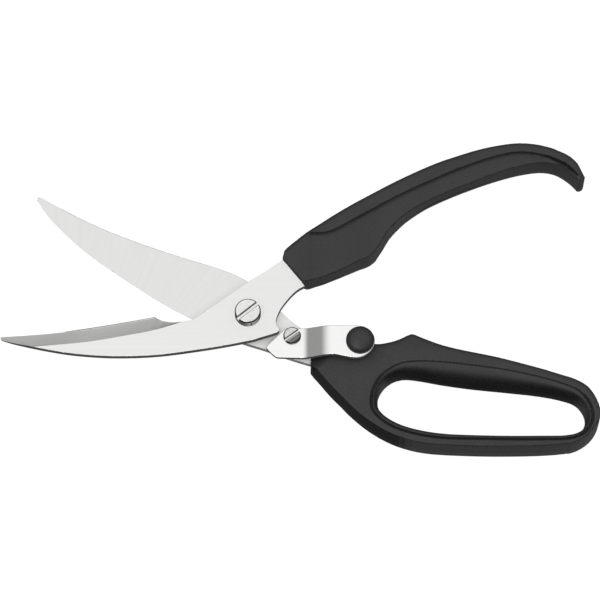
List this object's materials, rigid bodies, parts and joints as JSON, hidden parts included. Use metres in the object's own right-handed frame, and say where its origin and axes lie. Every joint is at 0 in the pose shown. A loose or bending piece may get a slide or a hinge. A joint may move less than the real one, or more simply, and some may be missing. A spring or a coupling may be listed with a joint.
{
  "type": "poultry shears",
  "caption": "Curved-blade poultry shears with a hooked upper handle, a finger-loop lower handle, a hidden opening spring and a swinging latch lever.",
  "frame": {"origin": "on the pivot axis, at the flat back face of the pivot nut, in the plane the shears lie on", "axes": "+X from the blades towards the handles, +Z along the pivot axis towards the slotted head, +Y towards the upper handle"},
  "size_m": [0.248, 0.1357, 0.0191],
  "materials": {
    "blade_steel": "fine satin brushed stainless steel, ground cutting bevels",
    "lever_steel": "bright smooth stainless sheet",
    "screw_steel": "turned stainless steel, slotted",
    "spring_steel": "drawn spring steel",
    "handle_plastic": "black moulded plastic with a fine satin grain",
    "knob_plastic": "black moulded plastic, satin"
  },
  "bodies": {
    "lower_assembly": {"rear_blade": "blade_steel", "lower_handle": "handle_plastic", "pivot_screw": "screw_steel", "pivot_nut": "screw_steel", "opening_spring": "spring_steel", "stop_pin": "screw_steel", "latch_screw": "screw_steel", "latch_washer": "spring_steel"},
    "front_assembly": {"front_blade": "blade_steel", "upper_handle": "handle_plastic"},
    "latch": {"latch_lever": "lever_steel", "latch_knob": "knob_plastic", "knob_rivet": "screw_steel"}
  },
  "joints": [
    {"name": "blade_pivot", "type": "hinge", "parent": "lower_assembly", "child": "front_assembly", "pos_m": [0, 0, 0.007], "axis": [0, 0, -1], "range_deg": [0, 36.5], "stiffness_Nm_per_rad": 0.8, "springref_deg": -22.92, "deforming": ["opening_spring"]},
    {"name": "latch_pivot", "type": "hinge", "parent": "lower_assembly", "child": "latch", "pos_m": [0.0184, -0.0095, 0.0083], "axis": [0, 0, -1], "range_deg": [0, 12.5]}
  ]
}
